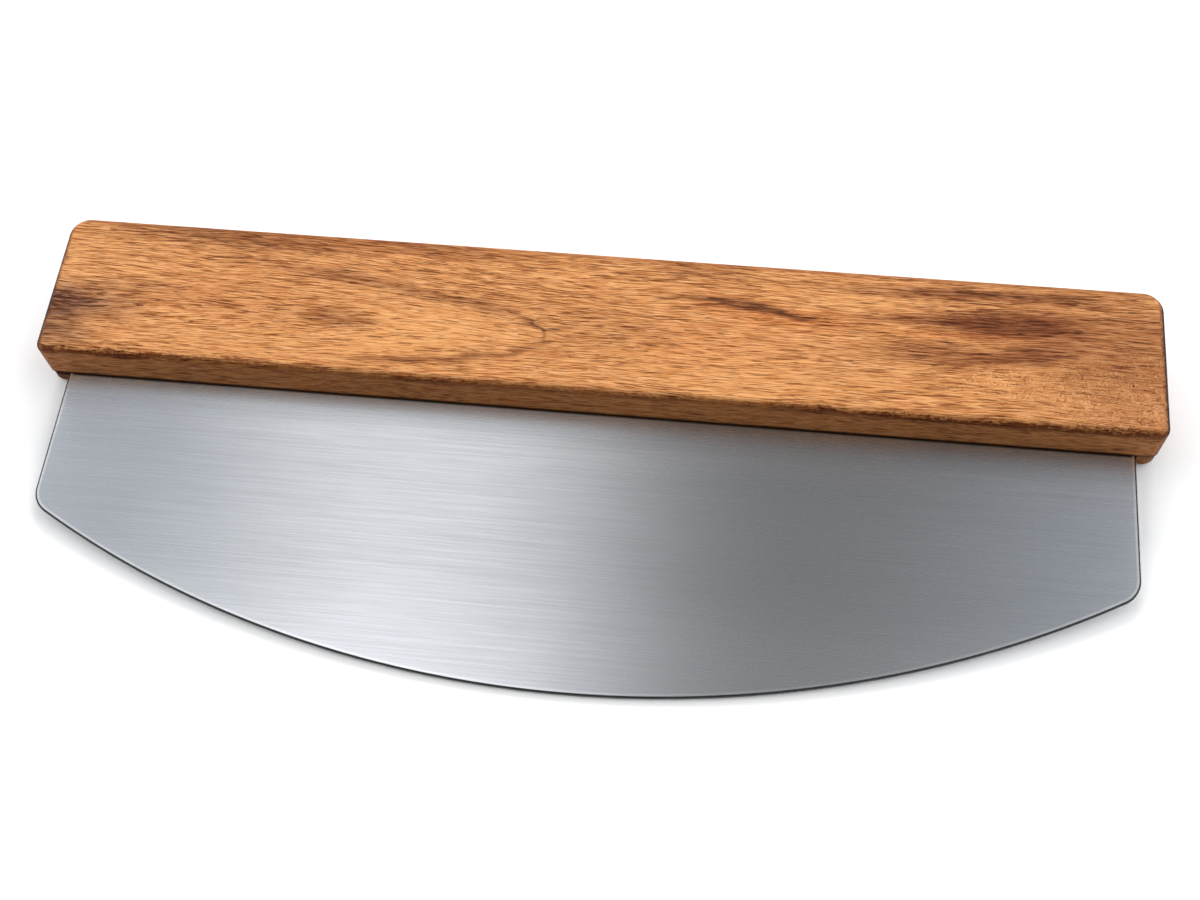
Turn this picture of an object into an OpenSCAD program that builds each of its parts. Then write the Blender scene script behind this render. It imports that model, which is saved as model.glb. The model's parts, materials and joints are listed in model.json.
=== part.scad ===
// Rocking pizza knife: a wide stainless blade with one curved edge, glued between the two
// halves of a straight wooden handle. Sizes are in millimetres.
// The knife lies on a table with its front face up. X runs along the handle, Y from the
// cutting edge to the top of the handle, and Z is up. The origin is on the table, under the
// middle of the knife's outline.

/* [Handle] */
// Length of the handle
handle_l = 355; // [300:1:400]
// Height of the handle, from the face that the blade leaves to the grip
handle_h = 51; // [42:0.5:65]
// Thickness of the front half
front_t = 14.8; // [10:0.1:20]
// Thickness of the back half, which holds the pocket
back_t = 6.8; // [5.6:0.1:12]
// Radius of the handle's upper corners, seen from the front
top_corner_r = 6.6; // [3:0.1:12]
// Radius of the front half's lower corners
front_corner_r = 3; // [3:0.1:8]
// Radius of the back half's lower corners
back_corner_r = 4; // [3:0.1:8]
// Radius of the eased edges round the front and back faces
edge_r = 2.2; // [1:0.1:2.6]

/* [Blade] */
// Length of handle left free past each side of the blade
end_margin = 7; // [6:0.1:20]
// Drop of the cutting edge below the handle at mid-length
drop_mid = 93; // [75:1:110]
// Drop at the sides, where the arc would meet them without its corners
drop_side = 46.6; // [35:0.1:60]
// Radius of the blade's lower corners
blade_corner_r = 9; // [4:0.5:18]
// Thickness of the sheet
blade_t = 1.5; // [1:0.1:2.5]
// Radius of the eased rim round the sheet
rim_r = 0.4; // [0.1:0.05:0.45]

/* [Tang] */
// Height of the tang inside the handle
tang_rise = 26; // [18:0.5:34]
// Radius of the tang's upper corners
tang_corner_r = 6; // [2:0.5:8]
// Diameter of the blind pins
pin_d = 4; // [3:0.1:5]
// Distance of the outer pins from the blade's sides
pin_inset = 42; // [25:1:70]
// Depth of the pins in the front half
pin_front_depth = 8; // [4:0.5:9]
// Depth of the pins in the back half, below the pocket
pin_back_depth = 2.5; // [1:0.1:3]
// Diameter of the tang's glue holes
glue_hole_d = 9; // [4:0.5:12]
// Glue holes between two pins
glue_holes = 2; // [1:1:3]

/* [Fits] */
// Thickness of the glue on each face of the tang
bond_t = 0.15; // [0.05:0.05:0.4]
// Play of the pins in their holes, all round
pin_play = 0.1; // [0.05:0.05:0.2]
// Space past each end of a pin
pin_end_gap = 0.3; // [0.1:0.1:0.8]
// Gap between the tang and the pocket's top and right end
pocket_gap = 0.4; // [0.2:0.1:1]
// Length of the pocket past the blade's left side
pocket_run = 4.5; // [0.5:0.5:4.5]
// Depth of the glue below the handle's lower face
bond_recess = 1; // [0.2:0.1:3]

/* [Hidden] */
$fn = 96;
arc_sides = 720;
cut = 1;

wood = [0.72, 0.47, 0.28];
steel = [0.66, 0.68, 0.70];
glue = [0.36, 0.24, 0.14];

// The pocket in the back half, and the blade between its films of glue
pocket_depth = blade_t + 2 * bond_t;
blade_front = -bond_t;
blade_back = blade_front - blade_t;

// The blade's outline: straight sides, an arc through both sides, and corners that touch both
blade_w = handle_l - 2 * end_margin;
side_x = blade_w / 2;
sag = drop_mid - drop_side;
arc_r = (side_x * side_x + sag * sag) / (2 * sag);
arc_y = arc_r - drop_mid;
corner_x = side_x - blade_corner_r;
corner_y = arc_y - sqrt(pow(arc_r - blade_corner_r, 2) - corner_x * corner_x);
corner_angle = atan2(corner_x, arc_y - corner_y);
meet_x = corner_x + blade_corner_r * sin(corner_angle);
// The corners stand this far proud of the arc and the sides, so that they cross them cleanly
corner_proud = 0.03;

// The row of holes in the tang
row_y = tang_rise / 2;
outer_pin_x = side_x - pin_inset;
hole_steps = glue_holes + 1;
hole_pitch = outer_pin_x / hole_steps;
pin_low = -pocket_depth - pin_back_depth;
pin_l = pin_front_depth - pin_low;

// How the knife lies: on the back half's lower edge and on the low point of the cutting edge
wood_edge = [edge_r, edge_r - back_t];
steel_edge = [rim_r - drop_mid, blade_back + rim_r];
span = wood_edge - steel_edge;
lean = asin((edge_r - rim_r) / norm(span)) - atan2(span[1], span[0]);
lift = edge_r - wood_edge[0] * sin(lean) - wood_edge[1] * cos(lean);
top_y = (handle_h - edge_r) * cos(lean) + (back_t - edge_r) * sin(lean) + edge_r;
low_y = (rim_r - drop_mid) * cos(lean) - (blade_front - rim_r) * sin(lean) - rim_r;
middle_y = (top_y + low_y) / 2;

// Turns a piece from the knife's own frame, where z = 0 is the seam between the halves and
// y = 0 is the handle's lower face, to the way that the knife lies
module lying() {
    translate([0, -middle_y, lift]) rotate([lean, 0, 0]) children();
}

// Half of a section that reaches out from x = 0 and stands on y = 0, its upper corner eased
module eased_section(reach, t, ease) {
    square([reach - ease, t]);
    square([reach, t - ease]);
    translate([reach - ease, t - ease]) intersection() {
        circle(r = ease);
        square(ease);
    }
}

module both_sides() {
    children();
    mirror([1, 0]) children();
}

// The half of a board from y = 0 up, its outer face eased all round, its other face on z = 0
module half_board(t, corner_r) {
    straight_x = handle_l / 2 - corner_r;
    straight_y = handle_h / 2 - corner_r;
    rotate([90, 0, 90]) linear_extrude(2 * straight_x, center = true)
        eased_section(handle_h / 2, t, edge_r);
    translate([0, straight_y, 0]) rotate([90, 0, 0]) linear_extrude(straight_y)
        both_sides() eased_section(handle_l / 2, t, edge_r);
    for (x = [-straight_x, straight_x])
        translate([x, straight_y, 0]) rotate_extrude() eased_section(corner_r, t, edge_r);
}

// A board of the handle's size, its lower face on y = 0
module eased_board(t, low_corner_r) {
    translate([0, handle_h / 2, 0]) {
        half_board(t, top_corner_r);
        mirror([0, 1, 0]) half_board(t, low_corner_r);
    }
}

// Outline of the tang, grown at its left, right and top, with its foot on y = from
module tang_outline(left, right, top, from) {
    low_x = -side_x - left;
    high_x = side_x + right;
    high_y = tang_rise + top;
    r = tang_corner_r;
    translate([low_x, from]) square([high_x - low_x, high_y - r - from]);
    translate([low_x + r, from]) square([high_x - low_x - 2 * r, high_y - from]);
    for (x = [low_x + r, high_x - r]) translate([x, high_y - r]) circle(r = r);
}

module pocket_space(from) {
    translate([0, 0, -pocket_depth]) linear_extrude(pocket_depth)
        tang_outline(pocket_run, pocket_gap, pocket_gap, from);
}

module at_pins() {
    for (i = [-1, 0, 1]) translate([i * outer_pin_x, row_y, 0]) children();
}

module pin_holes() {
    at_pins() translate([0, 0, pin_low - pin_end_gap])
        cylinder(d = pin_d + 2 * pin_play, h = pin_l + 2 * pin_end_gap);
}

module front_scale() {
    color(wood) lying() difference() {
        eased_board(front_t, front_corner_r);
        pin_holes();
    }
}

module back_scale() {
    color(wood) lying() difference() {
        mirror([0, 0, 1]) eased_board(back_t, back_corner_r);
        pocket_space(-cut);
        pin_holes();
    }
}

// Section of the sheet from x = 0 to its rim, both corners of the rim eased
module sheet_section(reach) {
    translate([0, blade_back]) {
        square([reach - rim_r, blade_t]);
        translate([0, rim_r]) square([reach, blade_t - 2 * rim_r]);
        for (z = [rim_r, blade_t - rim_r]) translate([reach - rim_r, z]) circle(r = rim_r);
    }
}

module sheet_disc(r) {
    rotate_extrude() sheet_section(r);
}

// The blade below the handle: the long arc, the round corners and the straight sides
module blade_below() {
    intersection() {
        translate([0, arc_y, 0]) sheet_disc(arc_r, $fn = arc_sides);
        translate([-meet_x, -drop_mid - cut, blade_back - cut])
            cube([2 * meet_x, corner_y + drop_mid + 2 * cut, blade_t + 2 * cut]);
    }
    for (x = [-corner_x, corner_x])
        translate([x, corner_y, 0]) sheet_disc(blade_corner_r + corner_proud);
    rotate([90, 0, 0]) linear_extrude(-corner_y) both_sides() sheet_section(side_x);
}

// The tang with its glue holes, its foot on y = from
module tang(from) {
    difference() {
        translate([0, 0, blade_back]) linear_extrude(blade_t) tang_outline(0, 0, 0, from);
        for (i = [-hole_steps : hole_steps])
            if (i % hole_steps != 0) translate([i * hole_pitch, row_y, blade_back - cut])
                cylinder(d = glue_hole_d, h = blade_t + 2 * cut);
    }
}

module blade() {
    color(steel) lying() difference() {
        union() {
            blade_below();
            tang(0);
        }
        pin_holes();
    }
}

// The glue fills the pocket round the tang and its glue holes
module epoxy_bond() {
    color(glue) lying() difference() {
        pocket_space(bond_recess);
        tang(-cut);
        pin_holes();
    }
}

module pin(i) {
    color(steel) lying() translate([i * outer_pin_x, row_y, pin_low]) cylinder(d = pin_d, h = pin_l);
}

module pin_left() { pin(-1); }
module pin_middle() { pin(0); }
module pin_right() { pin(1); }

front_scale();
back_scale();
blade();
epoxy_bond();
pin_left();
pin_middle();
pin_right();
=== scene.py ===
"""Looks of the rocking pizza knife: oiled wood, brushed steel, a white floor and soft studio light."""
import json
import math

import bmesh
import bpy
from mathutils import Matrix, Vector

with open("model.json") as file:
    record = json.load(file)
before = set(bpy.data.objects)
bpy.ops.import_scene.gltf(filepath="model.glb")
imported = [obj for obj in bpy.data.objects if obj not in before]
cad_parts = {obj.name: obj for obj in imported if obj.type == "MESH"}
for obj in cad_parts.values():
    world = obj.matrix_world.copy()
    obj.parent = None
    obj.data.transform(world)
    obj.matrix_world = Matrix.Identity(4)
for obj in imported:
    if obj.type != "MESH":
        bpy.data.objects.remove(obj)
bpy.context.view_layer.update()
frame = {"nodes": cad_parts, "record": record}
nodes = frame["nodes"]

# Sizes of the handle and the blade, in millimetres. The knife's own frame has x along the handle,
# y = 0 on the handle's lower face, with the grip above it, and z = 0 on the seam of the two halves.
HANDLE_H = 51.0
END_X = 177.5
FRONT_T = 14.8
TOP_CORNER_R = 6.6
SIDE_X = 170.5
DROP_MID = 93.0
DROP_SIDE = 46.6
CORNER_R = 9.0

# The blade's arc, and the circle of its right lower corner, with the turn at which they meet
SAG = DROP_MID - DROP_SIDE
ARC_R = (SIDE_X ** 2 + SAG ** 2) / (2 * SAG)
ARC_Y = ARC_R - DROP_MID
CORNER_X = SIDE_X - CORNER_R
CORNER_Y = ARC_Y - math.sqrt((ARC_R - CORNER_R) ** 2 - CORNER_X ** 2)
CORNER_TURN = math.atan2(CORNER_X, ARC_Y - CORNER_Y)

# How the knife lies, from the flat face on the front of the handle
front_face = next(m for m in frame["record"]["mounts"] if m["name"] == "handle_front")
LEAN = math.atan2(-front_face["axis"][1], front_face["axis"][2])
face_middle = Matrix.Rotation(-LEAN, 3, "X") @ (Vector(front_face["pos_m"]) * 1000)
KNIFE_SHIFT = Vector((0, HANDLE_H / 2, FRONT_T)) - face_middle

# The pith that the growth rings run round, how fast they narrow along the handle, and the
# radians of their wave in a millimetre
PITH_Y = 19.0
PITH_Z = -5.2
RING_TAPER = 0.0735
RING_WAVE = 2.9

# Light. The floor's glow is seen by the camera and in mirrors, and lights nothing.
PANEL_STRENGTH = 4.15
BRIGHTEST_MIRRORED = 1.3
MIRRORED_ROOM = 0.35
LAMP_PLACE = (0.0, 1.6, 1.0)
LAMP_SIZE = (0.9, 0.5)
LAMP_POWER = 15.5
FLOOR_REACH = 3.0
FLOOR_PAINT = (0.87, 0.87, 0.87)
FLOOR_GLOW = 0.10

# The camera that took the photo, fitted to the knife's outline
PHOTO_WIDTH_PX = 1200
FOCAL_LENGTH_PX = 1619.5
SENSOR_WIDTH = 36
CAMERA_PLACE = (0.04668, -0.24272, 0.44607)
CAMERA_TURN = (0.5231, 0.0313, 0.1099)


class Nodes:
    """Adds nodes to one tree and joins them. An input is a number, a colour, a vector or a socket."""

    def __init__(self, tree):
        self.tree = tree

    def put(self, socket, value):
        if isinstance(value, bpy.types.NodeSocket):
            self.tree.links.new(value, socket)
        elif socket.type == "RGBA":
            socket.default_value = (*value[:3], 1)
        else:
            socket.default_value = value

    def add(self, kind, inputs=(), **settings):
        node = self.tree.nodes.new(kind)
        for name, value in settings.items():
            setattr(node, name, value)
        for name, value in dict(inputs).items():
            self.put(node.inputs[name], value)
        return node

    def math(self, operation, *values):
        node = self.add("ShaderNodeMath", operation=operation)
        for socket, value in zip(node.inputs, values):
            self.put(socket, value)
        return node.outputs[0]

    def vector(self, operation, *values):
        node = self.add("ShaderNodeVectorMath", operation=operation)
        for socket, value in zip(node.inputs, values):
            self.put(socket, value)
        return node.outputs

    def sum(self, *values):
        total = values[0]
        for value in values[1:]:
            total = self.math("ADD", total, value)
        return total

    def times(self, *values):
        total = values[0]
        for value in values[1:]:
            total = self.math("MULTIPLY", total, value)
        return total

    def distance(self, across, up):
        return self.math("SQRT", self.math("ADD", self.times(across, across), self.times(up, up)))

    def sway(self, value, reach):
        """A noise value from 0 to 1, made a shift from -reach / 2 to reach / 2."""
        return self.times(self.math("SUBTRACT", value, 0.5), reach)

    def ease(self, value, low, high, start=0.0, end=1.0, kind="SMOOTHSTEP"):
        """Goes from start, where the value is low, to end, where it is high."""
        places = {"Value": value, "From Min": low, "From Max": high, "To Min": start, "To Max": end}
        return self.add("ShaderNodeMapRange", places, interpolation_type=kind).outputs[0]

    def mapped(self, vector, scale=(1, 1, 1), location=(0, 0, 0), rotation=(0, 0, 0), kind="POINT"):
        place = {"Vector": vector, "Location": location, "Rotation": rotation, "Scale": scale}
        return self.add("ShaderNodeMapping", place, vector_type=kind).outputs[0]

    def noise(self, vector, scale, detail=3.0, roughness=0.55, distortion=0.0):
        look = {"Vector": self.mapped(vector, scale), "Scale": 1.0, "Detail": detail,
                "Roughness": roughness, "Distortion": distortion}
        return self.add("ShaderNodeTexNoise", look).outputs[0]

    def patch(self, vector, centre, half, turn=0.0):
        """1 in the middle of an ellipsoid with these half sizes, easing to 0 at its skin."""
        inside = self.mapped(vector, half, centre, (0, 0, math.radians(turn)), "TEXTURE")
        return self.ease(self.vector("LENGTH", inside)["Value"], 1.0, 0.1)

    def patches(self, vector, table, z, half_z):
        """Adds up patches, each given as x, y, half length, half height, turn and strength."""
        parts = [self.times(self.patch(vector, (x, y, z), (a, b, half_z), turn), strength)
                 for x, y, a, b, turn, strength in table]
        return self.sum(*parts)

    def ramp(self, value, *stops):
        node = self.add("ShaderNodeValToRGB", {"Fac": value})
        while len(node.color_ramp.elements) < len(stops):
            node.color_ramp.elements.new(0.5)
        for element, (position, colour) in zip(node.color_ramp.elements, stops):
            element.position = position
            element.color = (*colour, 1) if isinstance(colour, tuple) else (colour, colour, colour, 1)
        return node.outputs[0]

    def mix(self, factor, a, b, blend="MIX"):
        node = self.add("ShaderNodeMix", data_type="RGBA", blend_type=blend)
        self.put(node.inputs["Factor"], factor)
        self.put(node.inputs[6], a)
        self.put(node.inputs[7], b)
        return node.outputs[2]

    def bump(self, height, strength, distance):
        relief = {"Strength": strength, "Distance": distance, "Height": height}
        return self.add("ShaderNodeBump", relief).outputs[0]


def new_material(name):
    material = bpy.data.materials.new(name)
    material.use_nodes = True
    material.node_tree.nodes.clear()
    return material, Nodes(material.node_tree)


def surface(n, shader):
    out = n.add("ShaderNodeOutputMaterial")
    n.put(out.inputs["Surface"], shader.outputs[0])


def knife_coordinates(n):
    """Millimetres in the knife's own frame."""
    local = n.add("ShaderNodeTexCoord").outputs["Object"]
    return n.mapped(local, (1000, 1000, 1000), KNIFE_SHIFT, (-LEAN, 0, 0))


# Marks in the front half's wood, seen on its front face. Each is given as
# x, y, half length, half height, turn in degrees and strength.
SMOKE = [
    (-168, 19, 34, 10, -3, 1.0),
    (-178, 15, 20, 12, 0, 0.85),
    (-172, 6, 20, 8, 0, 0.8),
    (-150, 26, 26, 4, 0, 0.35),
    (-82, 19.5, 20, 6, -5, 0.7),
    (-120, 21, 40, 7, -4, 0.3),
    (-80, 35, 30, 4, -4, 0.65),
    (-108, 38.5, 30, 3, -4, 0.35),
    (-115, 46.5, 60, 6, -1, 0.75),
    (-52, 47.5, 40, 4.5, -3, 0.65),
    (-54, 30.5, 30, 3.2, -8, 0.45),
    (-32, 26.5, 20, 3.0, -16, 0.5),
    (-20, 22.5, 10, 2.2, -30, 0.5),
    (-22, 12.8, 14, 1.9, 24, 0.75),
    (-38, 8.8, 18, 2.1, 11, 0.8),
    (-60, 6.2, 26, 1.8, 4, 0.7),
    (34, 46.5, 32, 4, -2, 0.4),
    (118, 45, 62, 4.2, 1.5, 0.85),
    (128, 34.5, 36, 8.5, 1, 1.1),
    (98, 34.3, 30, 2.4, 2, 0.65),
    (48, 34.3, 36, 4.6, -8, 0.45),
    (128, 34.5, 22, 5.0, 1, 0.6),
    (106, 22.5, 30, 6.5, 0, 0.8),
    (134, 24, 22, 5.5, 10, 0.8),
    (150, 34, 60, 26, 0, 0.25),
    (170, 18, 50, 40, 0, 0.55),
    (6, 23, 24, 10, 0, 0.2),
]
BLACK_STREAK = [
    (26, 35.8, 14, 1.0, 0, 0.7),
    (36, 36.1, 10, 1.8, -2, 1.0),
    (45, 35.2, 11, 2.4, -10, 1.1),
    (56, 33.5, 12, 2.2, -9, 1.0),
    (65, 32.1, 10, 1.6, -3, 0.8),
    (-18.4, 22.2, 4.2, 1.0, -38, 0.7),
    (-11.5, 21.2, 8.5, 1.2, 10, 0.75),
    (-16.2, 18.6, 3.2, 1.1, -78, 0.75),
    (118, 45.2, 34, 1.3, 1, 0.6),
    (146, 46, 18, 1.6, 2, 0.6),
    (128, 33.5, 22, 3.6, 2, 0.45),
    (-172, 15, 16, 3, 4, 0.3),
    (-177, 35, 3, 3, 0, 0.5),
]
RED_GLOW = [
    (52, 32.5, 36, 7.0, -8, 1.3),
    (72, 32, 22, 4, 0, 0.7),
    (118, 29.8, 38, 3.6, 0, 1.0),
    (34, 18, 44, 14, 0, 0.45),
    (-122, 22, 50, 12, 0, 0.35),
    (-70, 47, 60, 5, 0, 0.5),
]
GOLD_GLOW = [
    (-52, 17, 46, 13, 3, 1.0),
    (-90, 8, 70, 8, 3, 0.5),
    (45, 8, 80, 13, 0, 0.6),
    (70, 40, 40, 5, 0, 0.6),
]
PORE_FIELDS = [
    (-30, 34, 64, 12, -5, 0.9),
    (-112, 38.5, 44, 4.5, -3, 0.9),
    (-110, 46, 75, 7, 0, 0.9),
    (8, 22, 32, 13, 0, 0.7),
    (20, 45, 60, 6, 0, 0.7),
    (118, 40, 58, 12, 0, 0.8),
    (-80, 19, 20, 6, 0, 0.8),
]
CURL = [
    (170, 9, 44, 26, 0, 1.2),
    (130, 14, 30, 10, 0, 0.6),
]
SCORCH = [
    (-152, 0.6, 50, 9, 0, 1.3),
    (-100, 0.0, 30, 9, 0, 0.7),
    (-48, -1.5, 50, 9, 0, 0.9),
    (20, -1.8, 60, 9, 0, 0.75),
    (78, 0.0, 40, 9, 0, 0.9),
    (118, 0.4, 40, 9, 0, 1.3),
    (160, -0.4, 40, 9, 0, 1.1),
]


def oiled_wood(name, shift, front):
    material, n = new_material(name)
    here = knife_coordinates(n)
    x, y, z = n.add("ShaderNodeSeparateXYZ", {"Vector": here}).outputs
    grain = n.mapped(here, location=shift)

    # Fibres bend round the arch in the grain, whose tip points to the right
    side = n.ease(y, 10.0, 28.0, -1.0, 1.0)
    arm = n.ease(x, -110.0, 0.0, -3.0, 0.0)
    wander = n.noise(grain, (0.010, 0.045, 0.045), 2.0, 0.5)
    bend = n.sum(n.times(arm, side), n.times(wander, 7.0))
    flow = n.vector("ADD", grain, n.add("ShaderNodeCombineXYZ", {"Y": bend}).outputs[0])[0]

    # Growth rings round a pith behind the front face, narrower towards the right end
    radius = n.distance(n.math("SUBTRACT", y, PITH_Y), n.math("SUBTRACT", z, PITH_Z))
    wobble = n.noise(grain, (0.02, 0.12, 0.12), 3.0, 0.55)
    ring = n.sum(radius, n.times(x, RING_TAPER), n.sway(wobble, 3.2))
    rings = n.ease(n.math("SINE", n.times(ring, RING_WAVE)), -0.2, 1.0)

    broad = n.noise(grain, (0.012, 0.07, 0.07), 3.0, 0.6)
    streaks = n.noise(flow, (0.030, 0.75, 0.75), 3.0, 0.6)
    fibres = n.noise(flow, (0.045, 2.8, 2.8), 2.0, 0.62)
    hairs = n.noise(flow, (0.13, 4.2, 4.2), 1.0, 0.5)
    dashes = n.noise(flow, (0.13, 3.0, 3.0), 1.0, 0.5)
    specks = n.noise(flow, (0.24, 3.6, 3.6), 1.0, 0.5)

    # The marks' outlines are pulled about, so that none is smooth
    coarse = n.mapped(grain, (0.10, 0.35, 0.35))
    jitter = n.add("ShaderNodeTexNoise", {"Vector": coarse, "Scale": 1.0, "Detail": 3.0})
    back = n.mapped(here, location=(-5.0, -1.5, -1.5))
    spot = n.vector("MULTIPLY_ADD", jitter.outputs["Color"], (10.0, 3.0, 3.0), back)[0]
    if front:
        smoke = n.patches(spot, SMOKE, FRONT_T, 9.0)
        black = n.patches(spot, BLACK_STREAK, FRONT_T, 3.0)
        red = n.patches(spot, RED_GLOW, FRONT_T, 9.0)
        gold = n.patches(spot, GOLD_GLOW, FRONT_T, 12.0)
        crowd = n.patches(spot, PORE_FIELDS, FRONT_T, 10.0)
        curl = n.patches(spot, CURL, FRONT_T, 10.0)
    else:
        smoke = n.ease(n.noise(grain, (0.02, 0.09, 0.09), 3.0), 0.52, 0.75, 0.0, 0.8)
        black = n.times(smoke, 0.1)
        red = n.ease(broad, 0.5, 0.7)
        gold = n.ease(broad, 0.5, 0.3)
        crowd = n.ease(wander, 0.45, 0.65)
        curl = n.ease(wander, 0.62, 0.70)
    broken = n.ease(n.sum(n.times(streaks, 0.6), n.times(fibres, 0.4)), 0.36, 0.64)
    smoke = n.times(smoke, n.ease(broken, 0.0, 1.0, 1.0, 0.7))
    black = n.times(black, n.ease(dashes, 0.38, 0.62, 0.35, 1.45))
    calm = n.ease(n.sum(curl, n.times(gold, 0.45)), 0.0, 1.0, 1.0, 0.40)

    # Pores, more of them where they crowd
    limit = n.sum(
        0.600,
        n.times(crowd, -0.05),
        n.times(smoke, -0.035),
        n.times(curl, 0.04),
        n.times(gold, 0.015),
    )
    pores = n.ease(n.math("SUBTRACT", dashes, limit), 0.0, 0.05)
    small = n.ease(n.math("SUBTRACT", specks, limit), 0.0, 0.05)

    # Short swirled flecks near the right end
    worms = n.noise(grain, (0.40, 0.50, 0.50), 1.0, 0.5, 1.2)
    light_flecks = n.times(n.ease(n.math("ABSOLUTE", n.math("SUBTRACT", worms, 0.53)), 0.035, 0.0), curl)
    dark_flecks = n.times(n.ease(n.math("ABSOLUTE", n.math("SUBTRACT", worms, 0.45)), 0.04, 0.0), curl)

    tone = n.sum(
        0.66,
        n.sway(broad, 0.20),
        n.times(n.sum(n.sway(streaks, 0.14), n.sway(fibres, 0.62), n.sway(hairs, 1.5)), calm),
        n.times(rings, -0.05),
        n.times(gold, 0.13),
        n.times(light_flecks, 0.70),
        n.times(dark_flecks, -0.30),
    )
    colour = n.ramp(
        tone,
        (0.10, (0.15, 0.038, 0.009)),
        (0.38, (0.39, 0.134, 0.036)),
        (0.64, (0.640, 0.274, 0.092)),
        (0.92, (0.785, 0.402, 0.170)),
    )
    colour = n.mix(n.times(gold, 0.5), colour, (1.0, 0.98, 0.84), "MULTIPLY")
    colour = n.mix(n.times(red, 0.6), colour, (0.97, 0.78, 0.66), "MULTIPLY")
    haze = n.mix(n.ease(x, -165.0, -110.0), (0.36, 0.35, 0.48), (0.38, 0.27, 0.26))
    colour = n.mix(smoke, colour, haze, "MULTIPLY")
    colour = n.mix(n.times(pores, 0.85), colour, (0.36, 0.25, 0.20), "MULTIPLY")
    colour = n.mix(n.times(small, 0.65), colour, (0.42, 0.30, 0.24), "MULTIPLY")
    colour = n.mix(n.math("MINIMUM", black, 0.9), colour, (0.085, 0.028, 0.011))

    # The lower front edge is scorched in a rough line, and painted shade darkens the seam and the lower
    # face
    fuzz = n.noise(grain, (0.55, 1.2, 1.2), 4.0, 0.75)
    scorch = 0.0
    if front:
        tufts = n.noise(grain, (0.09, 0.25, 0.25), 3.0, 0.6)
        low = n.ease(x, -115.0, -60.0, 0.4, 1.8)
        down = n.sum(y, z, -FRONT_T, low, n.sway(fuzz, -9.0), n.sway(tufts, -6.0))
        line = n.times(n.ease(n.math("ABSOLUTE", down), 3.0, 0.4), n.ease(fuzz, 0.40, 0.60, 0.65, 1.15))
        scorch = n.times(line, n.patches(here, SCORCH, FRONT_T, 9.0))
        # Painted shade along the seam between the two halves
        seam = n.ease(n.sum(z, n.sway(fuzz, 0.8)), 1.4, 0.3, 0.0, 0.92)
        colour = n.mix(scorch, colour, (0.30, 0.19, 0.11), "MULTIPLY")
        colour = n.mix(seam, colour, (0.12, 0.09, 0.07), "MULTIPLY")
        # Painted shade on the lower face
        colour = n.mix(n.ease(y, 1.4, 0.2), colour, (0.76, 0.66, 0.56), "MULTIPLY")
    else:
        # Painted shade over the lower part of the back half
        colour = n.mix(n.ease(y, 9.0, 3.0), colour, (0.48, 0.40, 0.36), "MULTIPLY")

    # The edges round the ends are darker, partly from the oil their end grain drinks and partly from
    # painted shade where they turn away, and the flat ends show the rings
    along = n.math("ABSOLUTE", x)
    rim = n.ease(n.sum(along, n.sway(fuzz, 3.0)), END_X - 2.4, END_X - 0.5, 0.0, 0.92)
    end_face = n.ease(along, END_X - 0.3, END_X - 0.05)
    end_grain = n.mix(rings, (0.50, 0.41, 0.34), (0.34, 0.27, 0.22))
    colour = n.mix(rim, colour, n.mix(end_face, (0.24, 0.18, 0.16), end_grain), "MULTIPLY")
    # Painted shade: a dark outline round the top corners and down the ends, stronger towards the right end
    past_x = n.math("MAXIMUM", n.math("SUBTRACT", along, END_X - TOP_CORNER_R), 0.0)
    past_y = n.math("MAXIMUM", n.math("SUBTRACT", y, HANDLE_H - TOP_CORNER_R), 0.0)
    off_face = n.math("SUBTRACT", 1.0, end_face)
    at_end = n.times(off_face, n.ease(past_x, 0.5, 3.0), n.ease(x, -60.0, 60.0, 0.4, 0.95))
    corner = n.ease(n.distance(past_x, past_y), TOP_CORNER_R - 1.2, TOP_CORNER_R - 0.6)
    colour = n.mix(n.times(corner, at_end), colour, (0.12, 0.10, 0.10), "MULTIPLY")

    # The upper front edge is darker with handling, and pores and scorch are rough
    top = n.ease(n.sum(y, z), HANDLE_H + FRONT_T - 3.0, HANDLE_H + FRONT_T - 1.4)
    colour = n.mix(top, colour, (0.56, 0.48, 0.42), "MULTIPLY")
    polish = n.sum(
        0.52,
        n.times(fibres, 0.10),
        n.times(pores, 0.18),
        n.times(scorch, 0.12),
        n.times(black, 0.2),
    )
    height = n.sum(
        n.times(fibres, 0.55),
        n.times(streaks, 0.35),
        n.times(n.ease(dashes, 0.60, 0.68), -0.9),
        n.times(n.ease(specks, 0.60, 0.68), -0.4),
    )
    shader = n.add("ShaderNodeBsdfPrincipled", {
        "Base Color": colour,
        "Roughness": polish,
        "Specular IOR Level": 0.12,
        "Normal": n.bump(height, 0.6, 0.0003),
    })
    surface(n, shader)
    return material


def depth_in_blade(n, x, y):
    """Distance from the blade's outline, in millimetres."""
    side = n.math("ABSOLUTE", x)
    arc = n.math("SUBTRACT", ARC_R, n.distance(side, n.math("SUBTRACT", y, ARC_Y)))
    plain = n.math("MINIMUM", n.math("SUBTRACT", SIDE_X, side), arc)
    right = n.math("SUBTRACT", side, CORNER_X)
    above = n.math("SUBTRACT", y, CORNER_Y)
    corner = n.math("SUBTRACT", CORNER_R, n.distance(right, above))
    past_arc = n.sum(n.times(right, math.cos(CORNER_TURN)), n.times(above, math.sin(CORNER_TURN)))
    inside = n.times(n.math("LESS_THAN", above, 0.0), n.math("GREATER_THAN", past_arc, 0.0))
    return n.math("ADD", n.times(corner, inside), n.times(plain, n.math("SUBTRACT", 1.0, inside)))


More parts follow.
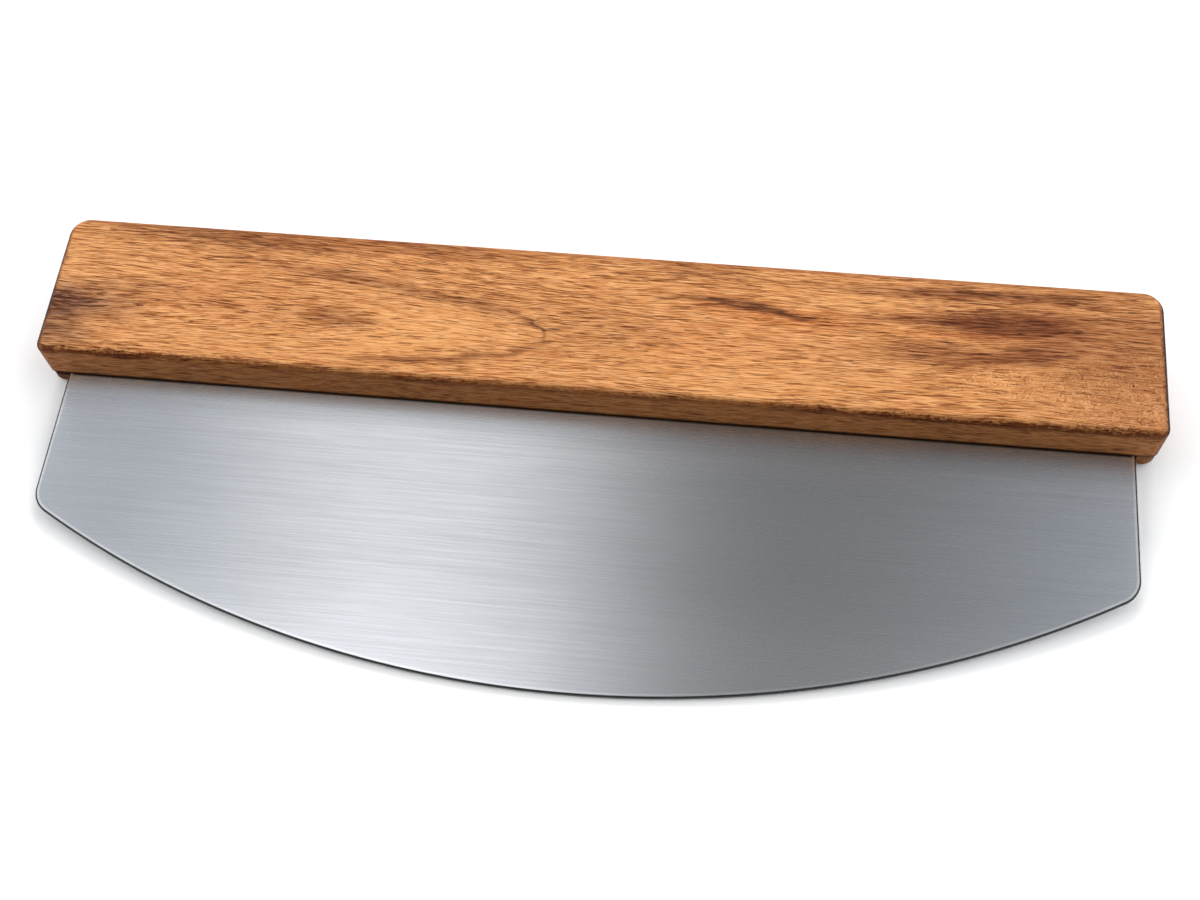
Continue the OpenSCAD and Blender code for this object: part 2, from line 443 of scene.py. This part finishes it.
def brushed_steel(name):
    material, n = new_material(name)
    here = knife_coordinates(n)
    x, y = n.add("ShaderNodeSeparateXYZ", {"Vector": here}).outputs[:2]
    depth = depth_in_blade(n, x, y)
    long_lines = n.noise(here, (0.016, 1.6, 1.6), 3.0, 0.65)
    lines = n.noise(here, (0.055, 3.6, 3.6), 3.0, 0.65)
    cloud = n.noise(here, (0.02, 0.035, 0.035), 2.0)
    both = n.sum(n.times(long_lines, 0.5), n.times(lines, 0.5))
    # A painted sheen: the steel is a little lighter within 6 mm of the outline
    hem = n.ease(depth, 6.0, 1.0)
    tone = n.sum(both, n.sway(cloud, 0.22), n.times(hem, 0.04))
    crosswise = n.add("ShaderNodeCombineXYZ", {"Y": math.cos(LEAN), "Z": math.sin(LEAN)})
    colour = n.ramp(
        tone,
        (0.3, (0.58, 0.595, 0.62)),
        (0.5, (0.65, 0.665, 0.695)),
        (0.7, (0.72, 0.735, 0.765)),
    )
    # Bluer along the handle. A painted reflection makes the steel paler near the handle, towards the lower
    # edge and next to the wood on the left, and painted shade darkens the last crack under the wood
    colour = n.mix(n.ease(y, -14.0, -3.0), colour, (0.88, 0.965, 1.0), "MULTIPLY")
    colour = n.mix(n.ease(n.math("ABSOLUTE", x), 80.0, 150.0), colour, (0.95, 0.98, 1.02), "MULTIPLY")
    near_wood = n.ease(y, -10.0, -4.0, 1.0, n.ease(x, 40.0, 0.0, 1.0, 1.25))
    painted_reflection_gain = n.times(n.ease(y, -22.0, -8.0, 1.0, 1.13), n.ease(y, -50.0, -85.0, 1.0, 1.15), near_wood)
    colour = n.add("ShaderNodeVectorMath", {"Vector": colour, "Scale": painted_reflection_gain}, operation="SCALE").outputs[0]
    # Painted shade in the last crack under the wood
    crack = n.ease(y, -1.0, -0.2)
    colour = n.mix(crack, colour, (0.10, 0.08, 0.06))
    # A painted highlight runs just inside the rim, and painted shade darkens it where it turns down
    bright = n.times(n.ease(depth, 1.5, 1.0), n.ease(depth, 0.5, 0.65))
    colour = n.mix(n.times(bright, n.ease(lines, 0.35, 0.55, 0.5, 0.95)), colour, (0.97, 0.98, 1.0))
    colour = n.mix(n.ease(depth, 0.65, 0.4), colour, (0.05, 0.05, 0.055))
    shader = n.add("ShaderNodeBsdfPrincipled", {
        "Base Color": colour,
        "Metallic": 1.0,
        "Roughness": n.ease(tone, 0.3, 0.7, 0.30, 0.26),
        "Anisotropic": 0.9,
        "Tangent": crosswise.outputs[0],
        "Normal": n.bump(both, 0.05, 0.0001),
    })
    surface(n, shader)
    return material


def cured_glue(name):
    material, n = new_material(name)
    cloud = n.noise(knife_coordinates(n), (0.3, 0.3, 0.3), 3.0)
    shader = n.add("ShaderNodeBsdfPrincipled", {
        "Base Color": n.ramp(cloud, (0.3, (0.030, 0.018, 0.010)), (0.7, (0.070, 0.040, 0.022))),
        "Roughness": n.ease(cloud, 0.3, 0.7, 0.28, 0.42),
        "Normal": n.bump(cloud, 0.3, 0.0002),
    })
    surface(n, shader)
    return material


def drawn_steel(name):
    material, n = new_material(name)
    lines = n.noise(knife_coordinates(n), (4.0, 4.0, 0.3), 3.0)
    shader = n.add("ShaderNodeBsdfPrincipled", {
        "Base Color": n.ramp(lines, (0.3, (0.42, 0.43, 0.44)), (0.7, (0.60, 0.61, 0.62))),
        "Metallic": 1.0,
        "Roughness": n.ease(lines, 0.3, 0.7, 0.36, 0.28),
        "Normal": n.bump(lines, 0.2, 0.0001),
    })
    surface(n, shader)
    return material


def dress(node, material):
    slots = nodes[node].data.materials
    slots.clear()
    slots.append(material)


dress("front_scale", oiled_wood("front_wood", (0, 0, 0), front=True))
dress("back_scale", oiled_wood("back_wood", (140, 60, 35), front=False))
dress("blade", brushed_steel("blade_steel"))
dress("epoxy_bond", cured_glue("glue"))
pin_finish = drawn_steel("pin_steel")
for pin in ("pin_left", "pin_middle", "pin_right"):
    dress(pin, pin_finish)


def white_floor():
    sheet = bmesh.new()
    bmesh.ops.create_grid(sheet, x_segments=1, y_segments=1, size=FLOOR_REACH)
    mesh = bpy.data.meshes.new("floor")
    sheet.to_mesh(mesh)
    sheet.free()
    floor = bpy.data.objects.new("floor", mesh)
    bpy.context.scene.collection.objects.link(floor)
    material, n = new_material("floor_white")
    path = n.add("ShaderNodeLightPath").outputs
    seen = n.math("MAXIMUM", path["Is Camera Ray"], path["Is Glossy Ray"])
    seen = n.math("MAXIMUM", seen, path["Is Transmission Ray"])
    paint = n.add("ShaderNodeBsdfDiffuse", {"Color": FLOOR_PAINT})
    glow = n.add("ShaderNodeEmission", {"Color": (1, 1, 1), "Strength": n.times(seen, FLOOR_GLOW)})
    both = n.add("ShaderNodeAddShader")
    n.put(both.inputs[0], paint.outputs[0])
    n.put(both.inputs[1], glow.outputs[0])
    surface(n, both)
    mesh.materials.append(material)


def back_light():
    """A wide lamp behind the knife, for the soft shadow. No mirror shows it."""
    data = bpy.data.lights.new("back_light", "AREA")
    data.shape = "RECTANGLE"
    data.size, data.size_y = LAMP_SIZE
    data.energy = LAMP_POWER
    lamp = bpy.data.objects.new("back_light", data)
    bpy.context.scene.collection.objects.link(lamp)
    lamp.location = LAMP_PLACE
    lamp.rotation_euler = Vector(LAMP_PLACE).to_track_quat("Z", "Y").to_euler()
    lamp.visible_glossy = False


def studio():
    world = bpy.data.worlds.new("studio")
    bpy.context.scene.world = world
    world.use_nodes = True
    world.node_tree.nodes.clear()
    n = Nodes(world.node_tree)
    sky = n.add("ShaderNodeTexCoord").outputs["Generated"]
    way = n.add("ShaderNodeSeparateXYZ", {"Vector": sky}).outputs
    # Bright panels left of the middle and out at both sides, with a dark gap right of the middle
    slant = n.math("DIVIDE", way[0], n.math("MAXIMUM", way[2], 0.12))
    panels = n.ramp(
        n.ease(slant, -0.8, 0.8, kind="LINEAR"),
        (0.00, 0.90),
        (0.12, 0.40),
        (0.17, 0.24),
        (0.235, 0.18),
        (0.275, 0.24),
        (0.32, 0.49),
        (0.36, 0.56),
        (0.40, 0.50),
        (0.44, 0.26),
        (0.475, 0.092),
        (0.525, 0.072),
        (0.60, 0.112),
        (0.67, 0.16),
        (0.80, 0.50),
        (1.00, 0.95),
    )
    # The light comes from over and behind the knife, and little from the camera's side
    behind = n.ramp(
        n.ease(way[1], -1.0, 1.0, kind="LINEAR"),
        (0.00, 0.05),
        (0.30, 0.14),
        (0.50, 0.68),
        (0.60, 0.82),
        (0.66, 0.62),
        (0.72, 0.50),
        (0.85, 0.75),
        (1.00, 0.80),
    )
    # Steel mirrors the panels only up to a limit, and less of them far out at the sides, so that it
    # doesn't turn white in low views. It mirrors a grey room on the camera's side, so that it doesn't
    # turn black in views from the back. The camera sees plain white past the floor.
    path = n.add("ShaderNodeLightPath").outputs
    light = n.times(panels, behind, PANEL_STRENGTH)
    far_out = n.ease(n.math("ABSOLUTE", way[0]), 0.6, 0.9, 1.0, 0.75)
    mirrored = n.times(n.math("MINIMUM", light, BRIGHTEST_MIRRORED), far_out)
    mirrored = n.math("MAXIMUM", mirrored, n.ease(way[1], 0.0, -0.4, 0.0, MIRRORED_ROOM))
    light = n.ease(path["Is Glossy Ray"], 0.0, 1.0, light, mirrored, "LINEAR")
    light = n.ease(path["Is Camera Ray"], 0.0, 1.0, light, 1.0, "LINEAR")
    tint = n.mix(path["Is Camera Ray"], (0.98, 0.99, 1.0), (1, 1, 1))
    glow = n.add("ShaderNodeBackground", {"Color": tint, "Strength": light})
    out = n.add("ShaderNodeOutputWorld")
    n.put(out.inputs["Surface"], glow.outputs[0])
    back_light()


def camera():
    data = bpy.data.cameras.new("camera")
    data.sensor_width = SENSOR_WIDTH
    data.lens = FOCAL_LENGTH_PX / PHOTO_WIDTH_PX * SENSOR_WIDTH
    lookout = bpy.data.objects.new("camera", data)
    bpy.context.scene.collection.objects.link(lookout)
    lookout.location = CAMERA_PLACE
    lookout.rotation_euler = CAMERA_TURN
    bpy.context.scene.camera = lookout


white_floor()
studio()
camera()
bpy.context.scene.view_settings.view_transform = "Standard"
